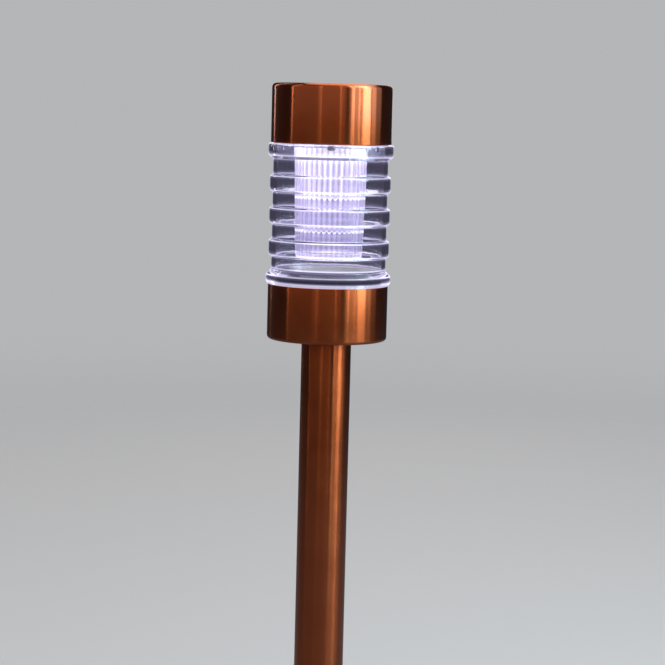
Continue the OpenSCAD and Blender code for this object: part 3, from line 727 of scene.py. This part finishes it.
# Painted reflection: the flutes' ends, mirrored in the wall, are painted as thin glowing zigzag lines, one
# tooth to a flute.
ZIGZAG_DEPTH = 1.3
PAINTED_ZIGZAGS = ((25.3, 0.55), (20.9, 0.35), (10.7, 0.60))      # height above the cup's floor, and strength
zigzag_tooth = maths(cup_tree, "MULTIPLY", maths(
    cup_tree, "PINGPONG", maths(cup_tree, "MULTIPLY", cup_bearing, FLUTES / math.pi), 1.0), ZIGZAG_DEPTH * MM)
for rise, strength in PAINTED_ZIGZAGS:
    zigzag_away = maths(cup_tree, "ABSOLUTE", maths(
        cup_tree, "SUBTRACT", cup_z, zigzag_tooth, (cup_low[2] + rise) * MM))
    painted_zigzag = ranged(cup_tree, zigzag_away, strength, 0.0, 0.15 * MM, 0.5 * MM)
    painted_cup_glow = maths(cup_tree, "ADD", painted_cup_glow, painted_zigzag)
# Painted glow: flutes seen edge-on are painted brighter, and so is the top of the cup, beside the LED.
painted_cup_glow = maths(cup_tree, "ADD", painted_cup_glow, ranged(cup_tree, facing(cup_tree), 0.0, 0.35, 0.65, 0.98),
                 ranged(cup_tree, cup_z, 0.0, 0.45, (cup_high[2] - 9) * MM, (cup_high[2] - 2) * MM))
# Painted highlight: the LED is painted as a bright spot in the cup's floor.
painted_cup_glow = maths(cup_tree, "ADD", painted_cup_glow, maths(
    cup_tree, "MULTIPLY", ranged(cup_tree, cup_radius, 1.6, 0.22, 2.5 * MM, 12 * MM),
    ranged(cup_tree, cup_z, 1.0, 0.0, (cup_low[2] + 0.6) * MM, (cup_low[2] + 2.4) * MM)))
cup_inside = ranged(cup_tree, cup_radius, 1.0, 0.02, (CUP_TOP_RADIUS + 0.2) * MM, (CUP_TOP_RADIUS + 0.5) * MM)
feed(cup_shader, "Emission Color", colours(cup_tree, maths(cup_tree, "MULTIPLY", painted_cup_glow, cup_inside), [
    (0.0, (0.008, 0.007, 0.012)), (0.25, (0.085, 0.073, 0.125)), (0.5, (0.235, 0.205, 0.32)),
    (1.0, (0.78, 0.75, 0.84)),
]))

cup_line = rounded([
    (0, cup_low[2], 0), (CUP_END_RADIUS, cup_low[2], 0.6), (CUP_TOP_RADIUS, cup_flange_z, 0.3),
    (SKIRT_BORE, cup_flange_z, 0.4), (SKIRT_BORE, skirt_z, 0.3), (skirt_radius, skirt_z, 0.3),
    (skirt_radius, cup_flange_z - LUG_HEIGHT, 0), (skirt_radius, cup_flange_z - LUG_HEIGHT, 0),
    (skirt_radius, cup_flange_z, 0), (skirt_radius, cup_flange_z, 0), (skirt_radius, cup_high[2], 0.2),
    (CUP_TOP_RADIUS - CUP_WALL, cup_high[2], 0.4), (CUP_END_RADIUS - CUP_WALL, cup_low[2] + CUP_FLOOR, 1.2),
    (0, cup_low[2] + CUP_FLOOR, 0),
], steps=5, closed=False)
cup_degrees = angles_with(np.concatenate([lug_middles - LUG_ANGLE / 2, lug_middles + LUG_ANGLE / 2]),
                          360 / FLUTES / FLUTE_STEPS)
cup_turn = np.radians(cup_degrees)
cup_rows = np.arange(len(cup_line))
on_outside = (cup_rows >= 4) & (cup_rows <= 9)
fluted_r = cup_line[:, :1] - FLUTE_DEPTH * on_outside[:, None] * (0.5 - 0.5 * np.cos(FLUTES * cup_turn))
on_lug = (np.abs(from_middles(cup_degrees)) < LUG_ANGLE / 2).any(1)
doubled = np.flatnonzero((np.diff(cup_line, axis=0) == 0).all(1))     # rows where a lug begins and ends
lug_rows = (cup_rows > doubled[0]) & (cup_rows <= doubled[1])
cup_r = np.where(lug_rows[:, None] & on_lug, LUG_RADIUS, np.maximum(fluted_r, 0))
cup = piece_from("fluted_cup", [(
    np.stack([cup_r * np.cos(cup_turn), cup_r * np.sin(cup_turn), cup_line[:, 1:] + 0 * cup_turn], -1),
    grid_faces(len(cup_line), len(cup_turn)),
)], cup_clear)


def capped_faces(rings, sides):
    """Faces of a tube of rings x sides points, with one face over each end."""
    return [*grid_faces(rings, sides).tolist(), list(range(sides))[::-1],
            list(range((rings - 1) * sides, rings * sides))]


def cutter(outline, low, high):
    """Upright prism through an outline (x, y) from low to high, to be cut out of a piece."""
    points = np.stack([np.column_stack([outline, np.full(len(outline), z)]) for z in (low, high)])
    return piece_from("cutter", [(points, capped_faces(2, len(outline)))], cup_clear)


circle = np.radians(np.arange(0, 360, 15))
holes = [
    SCREW_RING * np.array([math.cos(angle), math.sin(angle)])
    + SCREW_HOLE * np.column_stack([np.cos(circle), np.sin(circle)])
    for angle in np.radians(SCREW_ANGLES)
]
holes.append(rounded([
    (x * LEVER_SLOT[0] / 2, SWITCH_Y + y * LEVER_SLOT[1] / 2, 0.4)
    for x, y in ((-1, -1), (1, -1), (1, 1), (-1, 1))
], steps=3))
joined(cup, [cutter(hole, cup_flange_z - 1, cup_high[2] + 1) for hole in holes], "DIFFERENCE")
stands_for(cup, "diffuser", "cap")


# ---------- Gasket ----------
# Flat ring punched from black silicone rubber, glued into the groove under the cap. It keeps rain out of the
# lens.

gasket_low, gasket_high = extent("seal_ring")
GASKET_BORE = 24.55
seal_rubber = moulded("seal_rubber", (0.022, 0.022, 0.023), 0.62, depth=0.000012, fineness=4200.0, paler=1.8)
gasket = piece_from("lens_gasket", [turned(rounded([
    (GASKET_BORE, gasket_low[2], 0.12), (gasket_high[0], gasket_low[2], 0.12),
    (gasket_high[0], gasket_high[2], 0.12), (GASKET_BORE, gasket_high[2], 0.12),
], steps=3))], seal_rubber)
stands_for(gasket, "seal_ring", "seal")


# ---------- Cap shell ----------
# Drawn copper-coloured cap: a straight wall that is bent over into a flat lip round the solar tile.

cap_low, cap_high = extent("cap_shell")
CAP_BEND = 2.0
LIP_RADIUS = 22.5
cap_shell = piece_from("cap_cover", [turned(rounded([
    (shell_radius - SHELL_WALL, cap_low[2], 0.22), (shell_radius, cap_low[2], 0.22),
    (shell_radius, cap_high[2], CAP_BEND), (LIP_RADIUS, cap_high[2], 0.2),
    (LIP_RADIUS, cap_high[2] - SHELL_WALL, 0.2),
    (shell_radius - SHELL_WALL, cap_high[2] - SHELL_WALL, CAP_BEND - SHELL_WALL),
], steps=8), 192)], copper)
stands_for(cap_shell, "cap_shell", "cap")


# ---------- Cap base and cap core ----------
# Two black mouldings: a closing plate, and the body above it with the battery's bay, the board's posts, the
# screws' bosses and the pocket for the solar tile. They are held together by the cover screws.

finished("cap_base", "cap_base_plate", black_plastic, "cap", 0.12)
finished("cap_core", "cap_core_body", black_plastic, "cap", 0.2)


# ---------- Reflector ----------
# Small dish of metallised plastic round the LED. Its bright coat has the faint orange peel of a sprayed
# base.

dish_low, dish_high = extent("reflector")
DISH_HOLE, DISH_THROAT, DISH_MOUTH = 2.7, 4.0, 9.2
DISH_WALL, DISH_CONE = 0.7, 3.55
bright_dish, dish_tree, dish_shader = material_nodes("bright_dish", (0.86, 0.87, 0.90), 0.08, 1.0)
dish_place = object_place(dish_tree)
feed(dish_shader, "Base Color", colours(dish_tree, noise(dish_tree, dish_place, 260.0, 3.0), [
    (0.3, (0.78, 0.79, 0.83)), (0.7, (0.91, 0.92, 0.95))]))
feed(dish_shader, "Roughness", uneven(dish_tree, dish_place, 500.0, 2.0, 0.05, 0.14))
bump(dish_tree, dish_shader, noise(dish_tree, dish_place, 900.0, 2.0), 0.00001)
dish = piece_from("led_dish", [turned(rounded([
    (DISH_HOLE, dish_high[2], 0.1), (DISH_HOLE, dish_high[2] - DISH_WALL, 0.1),
    (DISH_THROAT, dish_high[2] - DISH_WALL, 0.5), (DISH_MOUTH, dish_high[2] - DISH_CONE, 0.4),
    (DISH_MOUTH, dish_low[2], 0.12), (DISH_MOUTH + DISH_WALL, dish_low[2], 0.25),
    (DISH_MOUTH + DISH_WALL, dish_high[2] - DISH_CONE + 0.3, 0.4), (DISH_THROAT + 0.6, dish_high[2], 0.3),
], steps=4), 96)], bright_dish)
stands_for(dish, "reflector", "cap")


# ---------- LED ----------
# White 5 mm LED, dome down: a cast epoxy dome on a rim, lit all through. Its two tinned leads go up through
# the board.

led_low, led_high = extent("led")
LED_RADIUS, LED_RIM, LED_RIM_HEIGHT = 2.5, 2.9, 1.0
led_rim_z = led_high[2] - LED_RIM_HEIGHT

led_epoxy, led_tree, led_shader = clear_nodes("led_epoxy", (0.97, 0.98, 1.0), 0.03, 1.53, glow_strength=1.8)
led_place = object_place(led_tree)
feed(led_shader, "Roughness", uneven(led_tree, led_place, 700.0, 2.0, 0.02, 0.06))
feed(led_shader, "Emission Color", colours(led_tree, noise(led_tree, led_place, 300.0, 1.0), [
    (0.3, (0.86, 0.86, 1.0)), (0.7, (0.97, 0.97, 1.0))]))
led = piece_from("led_dome", [turned(rounded([
    (0, led_low[2], 0), (LED_RADIUS, led_low[2], LED_RADIUS - 0.02), (LED_RADIUS, led_rim_z, 0.08),
    (LED_RIM, led_rim_z, 0.12), (LED_RIM, led_high[2], 0.12), (0, led_high[2], 0),
], steps=12, closed=False), 48, closed=False)], led_epoxy)
stands_for(led, "led", "cap")


def tinned(name, colour=(0.72, 0.72, 0.71)):
    """Tin plate: soft blurred patches in its colour and gloss, and fine drawing lines in its bump."""
    material, tree, shader = material_nodes(name, colour, 0.3, 1.0)
    place = object_place(tree)
    patches = noise(tree, place, 240.0, 3.0)
    dark = tuple(0.72 * channel for channel in colour)
    feed(shader, "Base Color", colours(tree, patches, [(0.3, dark), (0.65, colour)]))
    feed(shader, "Roughness", ranged(tree, patches, 0.2, 0.42, 0.3, 0.7))
    bump(tree, shader, noise(tree, place, 2600.0, 2.0), 0.000008)
    return material


tinned_metal = tinned("tinned_metal")
finished("led_leads", "led_lead_pair", tinned_metal, "cap", 0)


# ---------- Circuit board and its parts ----------
# Green board with copper tracks under its mask. A four-legged driver chip and a dipped coil stand on it, and
# their tinned legs are soldered in.

TRACK_PITCH = 2.54

board_green, board_tree, board_shader = material_nodes("board_green", (0.02, 0.13, 0.045), 0.3)
board_place = object_place(board_tree)
board_tracks = node_of(board_tree, "TexBrick", {
    "Vector": board_place, "Scale": 1 / (TRACK_PITCH * MM) / 2, "Mortar Size": 0.035,
    "Color1": (0.016, 0.115, 0.04, 1), "Color2": (0.024, 0.15, 0.055, 1), "Mortar": (0.05, 0.25, 0.08, 1),
}).outputs
feed(board_shader, "Base Color", board_tracks["Color"])
feed(board_shader, "Roughness", uneven(board_tree, board_place, 1800.0, 1.0, 0.24, 0.4))
bump(board_tree, board_shader, board_tracks["Fac"], 0.00003)
finished("circuit_board", "charger_board", board_green, "cap", 0.08)


def two_part(name, first, second, axis, middle, half):
    """Material: first within half of middle on an axis, else second, each (colour, metallic, roughness)."""
    material, tree, shader = material_nodes(name, first[0], first[2])
    place = object_place(tree)
    along = parts_of(tree, place)["XYZ".index(axis)]
    away = maths(tree, "ABSOLUTE", maths(tree, "SUBTRACT", along, middle * MM))
    mask = ranged(tree, away, 0.0, 1.0, half * MM, (half + 0.01) * MM)
    patches = noise(tree, place, 900.0, 3.0)
    shades = [colours(tree, patches, [(0.3, tuple(0.8 * channel for channel in colour)), (0.7, colour)])
              for colour, _, _ in (first, second)]
    feed(shader, "Base Color", mixed(tree, mask, *shades))
    feed(shader, "Metallic", ranged(tree, mask, first[1], second[1]))
    feed(shader, "Roughness", ranged(tree, mask, first[2], second[2]))
    bump(tree, shader, patches, 0.000008)
    return material


LEG_METAL = ((0.72, 0.72, 0.70), 1.0, 0.25)
CHIP_HEIGHT = 3.6
chip_black = two_part("chip_black", ((0.014, 0.014, 0.015), 0.0, 0.55), LEG_METAL, "Z",
                      extent("driver_chip")[1][2] - CHIP_HEIGHT / 2, CHIP_HEIGHT / 2)
finished("driver_chip", "driver_chip_body", chip_black, "cap", 0.12)

coil_low, coil_high = extent("inductor")
COIL_LENGTH = 7.0
coil_green = two_part("coil_green", ((0.045, 0.19, 0.09), 0.0, 0.22), LEG_METAL, "X",
                      (coil_low[0] + coil_high[0]) / 2, COIL_LENGTH / 2)
finished("inductor", "boost_coil", coil_green, "cap", 0.35, 4)


# ---------- Battery and its contacts ----------
# Two-thirds AAA rechargeable cell in a green shrink sleeve that is rolled over the can's two ends. It sits
# between a tinned plate and a tinned coil spring.

cell_low, cell_high = extent("battery")
cell_middle = (cell_low + cell_high) / 2
cell_radius = (cell_high[1] - cell_low[1]) / 2
NUB_LENGTH, NUB_RADIUS = 0.8, 1.9
SLEEVE_MARGIN = 1.1
can_start, can_end, lip_radius = cell_low[0] + NUB_LENGTH, cell_high[0], cell_radius - SLEEVE_MARGIN
battery_finish = two_part(
    "battery_sleeve", ((0.03, 0.21, 0.075), 0.0, 0.2), ((0.70, 0.71, 0.72), 1.0, 0.22), "X",
    cell_middle[0] + NUB_LENGTH / 2, (can_end - can_start) / 2 - 0.02)
can_line = rounded([
    (0, cell_low[0], 0), (NUB_RADIUS, cell_low[0], 0.3), (NUB_RADIUS, can_start, 0.1),
    (lip_radius, can_start + 0.1, 0.1), (lip_radius, can_start, 0.05), (cell_radius, can_start, 0.45),
    (cell_radius - 0.05, cell_low[0] + 5, 0), (cell_radius, cell_middle[0], 0),
    (cell_radius - 0.05, can_end - 5, 0), (cell_radius, can_end, 0.45),
    (lip_radius, can_end, 0.05), (lip_radius, can_end - 0.1, 0.05), (0, can_end - 0.1, 0),
], steps=4, closed=False)
can_points, can_faces = turned(can_line, 64, closed=False)
can_points = np.stack([can_points[..., 2], can_points[..., 0] + cell_middle[1],
                       can_points[..., 1] + cell_middle[2]], -1)
battery = piece_from("battery_cell", [(can_points, can_faces)], battery_finish)
stands_for(battery, "battery", "cap")

finished("battery_plus_contact", "plus_plate", tinned_metal, "cap", 0.08)


def swept(path, radius, sides=16):
    """Round wire along a path: rings of points in the plane of two normals that never turn about the path.

    Each ring's first normal is the one before it, less its part along the path's new direction.
    """
    path = np.asarray(path, float)
    heading = np.gradient(path, axis=0)
    heading /= np.linalg.norm(heading, axis=1)[:, None]
    normal = np.cross(heading[0], (0.31, 0.52, 0.79))
    normals = []
    for direction in heading:
        normal = normal - direction * (normal @ direction)
        normal = normal / np.linalg.norm(normal)
        normals.append(normal)
    normals = np.array(normals)[:, None]
    binormals = np.cross(heading[:, None], normals)
    angle = np.linspace(0, 2 * np.pi, sides, endpoint=False)[:, None]
    return path[:, None] + radius * (np.cos(angle) * normals + np.sin(angle) * binormals)


spring_low, spring_high = extent("battery_spring")
COIL_TURNS, COIL_WIRE, PLATE = 3.5, 0.3, 0.4
COIL_BASE_RADIUS, COIL_TAPER = 3.4, 1.4
along = np.linspace(0, 1, 120)
coil_radius = COIL_BASE_RADIUS - COIL_TAPER * along
coil_turn = 2 * np.pi * COIL_TURNS * along
spring_base = spring_high[0] - PLATE
coil_path = np.stack([
    spring_base - along * (spring_base - spring_low[0] - COIL_WIRE - 0.02),
    cell_middle[1] + coil_radius * np.cos(coil_turn), cell_middle[2] + coil_radius * np.sin(coil_turn),
], -1)
plate_outline = rounded([(y, z, 0.8) for y, z in (
    (spring_low[1] + 0.1, spring_low[2] + 0.1), (spring_high[1] - 0.1, spring_low[2] + 0.1),
    (spring_high[1] - 0.1, spring_high[2]), (spring_low[1] + 0.1, spring_high[2]),
)], steps=4)
plate_points = np.stack([np.column_stack([np.full(len(plate_outline), x), plate_outline])
                         for x in (spring_base, spring_high[0])])
spring = piece_from("minus_spring", [
    (swept(coil_path, COIL_WIRE, 12), capped_faces(len(coil_path), 12)),
    (plate_points, capped_faces(2, len(plate_outline))),
], tinned_metal)
stands_for(spring, "battery_spring", "cap")


# ---------- Switch and screws ----------
# Slide switch in a folded tin housing, soldered by three pins; its black lever comes out through the cup's
# flange. Three zinc-plated screws hold the cup, the plate and the cap's body together.

finished("switch_body", "switch_housing", tinned_metal, "cap", 0.12)
finished("switch_pins", "switch_pin_row", tinned_metal, "cap", 0)
lever_black = moulded("lever_black", (0.02, 0.02, 0.021), 0.35, depth=0.00001)
finished("switch_slider", "switch_lever", lever_black, "switch", 0.15)
screw_steel = tinned("screw_steel", (0.60, 0.61, 0.63))
finished("cover_screws", "cover_screw_set", screw_steel, "cap", 0.08)


# ---------- Solar tile ----------
# Square crystalline cell on a dark board, under a clear cast resin window. Silver fingers and two broad bus
# bars are printed on the cell.

FINGER_PITCH, FINGER_WIDTH = 1.9, 0.12
BUS_AT, BUS_WIDTH = 7.0, 1.1

board_dark = moulded("board_dark", (0.012, 0.02, 0.013), 0.35, depth=0.00001, fineness=1800.0, paler=1.6)
finished("solar_board", "tile_board", board_dark, "cap", 0.08)

silicon, silicon_tree, silicon_shader = material_nodes("silicon", (0.006, 0.012, 0.05), 0.22)
silicon_place = object_place(silicon_tree)
silicon_x, silicon_y, _ = parts_of(silicon_tree, silicon_place)
crystals = node_of(silicon_tree, "TexVoronoi", {"Vector": silicon_place, "Scale": 260.0}).outputs["Color"]
crystal_grey = node_of(silicon_tree, "SeparateColor", {"Color": crystals}).outputs["Red"]
crystal_colour = colours(silicon_tree, crystal_grey, [
    (0.0, (0.006, 0.014, 0.065)), (0.5, (0.012, 0.028, 0.13)), (1.0, (0.022, 0.05, 0.20))])
finger_near = maths(silicon_tree, "PINGPONG", silicon_y, FINGER_PITCH / 2 * MM)
bus_near = maths(silicon_tree, "ABSOLUTE", maths(
    silicon_tree, "SUBTRACT", maths(silicon_tree, "ABSOLUTE", silicon_x), BUS_AT * MM))
silver = maths(silicon_tree, "MAXIMUM", *(
    ranged(silicon_tree, near, 1.0, 0.0, width / 2 * MM, (width / 2 + 0.02) * MM)
    for near, width in ((finger_near, FINGER_WIDTH), (bus_near, BUS_WIDTH))
))
feed(silicon_shader, "Base Color", mixed(silicon_tree, silver, crystal_colour, (0.62, 0.63, 0.65, 1)))
feed(silicon_shader, "Roughness", ranged(silicon_tree, silver, 0.2, 0.45))
bump(silicon_tree, silicon_shader, silver, 0.00001)
silicon_shader.inputs["Coat Weight"].default_value = 0.3
finished("solar_cell", "silicon_cell", silicon, "cap", 0.05)

clear_resin, resin_tree, resin_shader = clear_nodes("clear_resin", (0.96, 0.975, 1.0), 0.05, 1.5)
resin_place = object_place(resin_tree)
# Daylight passes straight through to the cell, so the resin casts no shadow.
feed(resin_shader, "Alpha", maths(resin_tree, "SUBTRACT", 1.0, ray_is(resin_tree, "Shadow")))
feed(resin_shader, "Roughness", uneven(resin_tree, resin_place, 90.0, 4.0, 0.03, 0.13, 0.35, 0.75))
bump(resin_tree, resin_shader, noise(resin_tree, resin_place, 160.0, 1.0), 0.00006)
finished("cell_window", "resin_window", clear_resin, "cap", 0.4, 4)


# ---------- Wires ----------
# Six thin leads with soft PVC sleeves, red for plus and black for minus. Each lies in a bend between the two
# places where it is soldered.


def sleeve(name, colour):
    """Soft PVC: a slightly uneven colour, with the fine draw lines of the extruder in its gloss."""
    material, tree, shader = material_nodes(name, colour, 0.35)
    place = object_place(tree)
    patches = noise(tree, place, 500.0, 3.0)
    dark = tuple(0.75 * channel for channel in colour)
    feed(shader, "Base Color", colours(tree, patches, [(0.3, dark), (0.7, colour)]))
    feed(shader, "Roughness", ranged(tree, patches, 0.28, 0.45, 0.3, 0.7))
    bump(tree, shader, noise(tree, place, 3500.0, 1.0), 0.000008)
    return material


red_sleeve = sleeve("red_sleeve", (0.50, 0.018, 0.012))
black_sleeve = sleeve("black_sleeve", (0.018, 0.018, 0.019))
finished("red_wires", "plus_leads", red_sleeve, "cap", 0)
finished("black_wires", "minus_leads", black_sleeve, "cap", 0)
